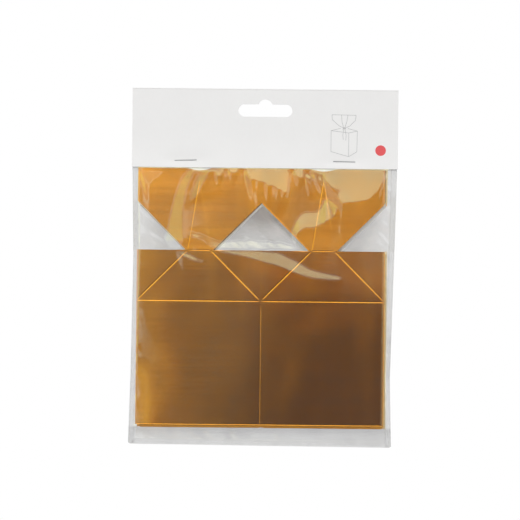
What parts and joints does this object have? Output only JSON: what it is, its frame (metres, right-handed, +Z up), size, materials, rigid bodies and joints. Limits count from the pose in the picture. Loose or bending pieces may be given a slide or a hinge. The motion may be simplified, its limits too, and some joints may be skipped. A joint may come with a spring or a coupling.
{
  "type": "favor box",
  "caption": "Flat-folded gold card favor boxes with petal tops, packed in a clear bag closed by a folded header card with a euro hang slot and staples.",
  "frame": {"origin": "middle of the hang slot's bar, midway between the header card's two leaves", "axes": "+X to the right seen from the front, +Z up towards the header's fold, front facing -Y; the pack hangs as on a shop peg"},
  "size_m": [0.15, 0.0038, 0.2019],
  "materials": {
    "gold_card": "mirror-gold metallised laminate on folding card",
    "card_back": "uncoated white card, the blank's unprinted side",
    "header_board": "smooth white matt board",
    "clear_film": "clear glossy wrinkled polypropylene film",
    "staple_wire": "bright galvanised wire"
  },
  "bodies": {
    "pack": {"header_card": "header_board", "staple_left": "staple_wire", "staple_right": "staple_wire", "bag_side_seals": "clear_film", "bag_front_film": "clear_film", "bag_front_upper_film": "clear_film", "bag_front_side_film": "clear_film", "bag_front_bottom_film": "clear_film", "bag_front_mouth_film": "clear_film", "bag_back_film": "clear_film", "bag_back_upper_film": "clear_film", "bag_back_side_film": "clear_film", "bag_back_bottom_film": "clear_film", "bag_back_mouth_film": "clear_film"},
    "near_box": {"near_glue_tab": "card_back", "near_side_folds": "gold_card", "near_outer_left_panel": "gold_card", "near_outer_left_shoulder": "gold_card", "near_outer_left_gussets": "gold_card", "near_outer_left_flare": "gold_card", "near_outer_left_bottom_flap": "gold_card", "near_outer_right_panel": "gold_card", "near_outer_right_shoulder": "gold_card", "near_outer_right_gussets": "gold_card", "near_outer_right_flare": "gold_card", "near_outer_right_bottom_flap": "gold_card", "near_inner_left_panel": "gold_card", "near_inner_left_shoulder": "gold_card", "near_inner_left_gussets": "gold_card", "near_inner_left_flare": "gold_card", "near_inner_left_bottom_flap": "gold_card", "near_inner_right_panel": "gold_card", "near_inner_right_shoulder": "gold_card", "near_inner_right_gussets": "gold_card", "near_inner_right_flare": "gold_card", "near_inner_right_bottom_flap": "gold_card"},
    "far_box": {"far_glue_tab": "card_back", "far_side_folds": "gold_card", "far_outer_left_panel": "gold_card", "far_outer_left_shoulder": "gold_card", "far_outer_left_gussets": "gold_card", "far_outer_left_flare": "gold_card", "far_outer_left_bottom_flap": "gold_card", "far_outer_right_panel": "gold_card", "far_outer_right_shoulder": "gold_card", "far_outer_right_gussets": "gold_card", "far_outer_right_flare": "gold_card", "far_outer_right_bottom_flap": "gold_card", "far_inner_left_panel": "gold_card", "far_inner_left_shoulder": "gold_card", "far_inner_left_gussets": "gold_card", "far_inner_left_flare": "gold_card", "far_inner_left_bottom_flap": "gold_card", "far_inner_right_panel": "gold_card", "far_inner_right_shoulder": "gold_card", "far_inner_right_gussets": "gold_card", "far_inner_right_flare": "gold_card", "far_inner_right_bottom_flap": "gold_card"}
  },
  "joints": [
    {"name": "near_box_slide", "type": "slide", "parent": "pack", "child": "near_box", "axis": [0, 0, 1], "range_m": [-0.008, 0]},
    {"name": "far_box_slide", "type": "slide", "parent": "pack", "child": "far_box", "axis": [0, 0, 1], "range_m": [-0.0065, 0]}
  ]
}
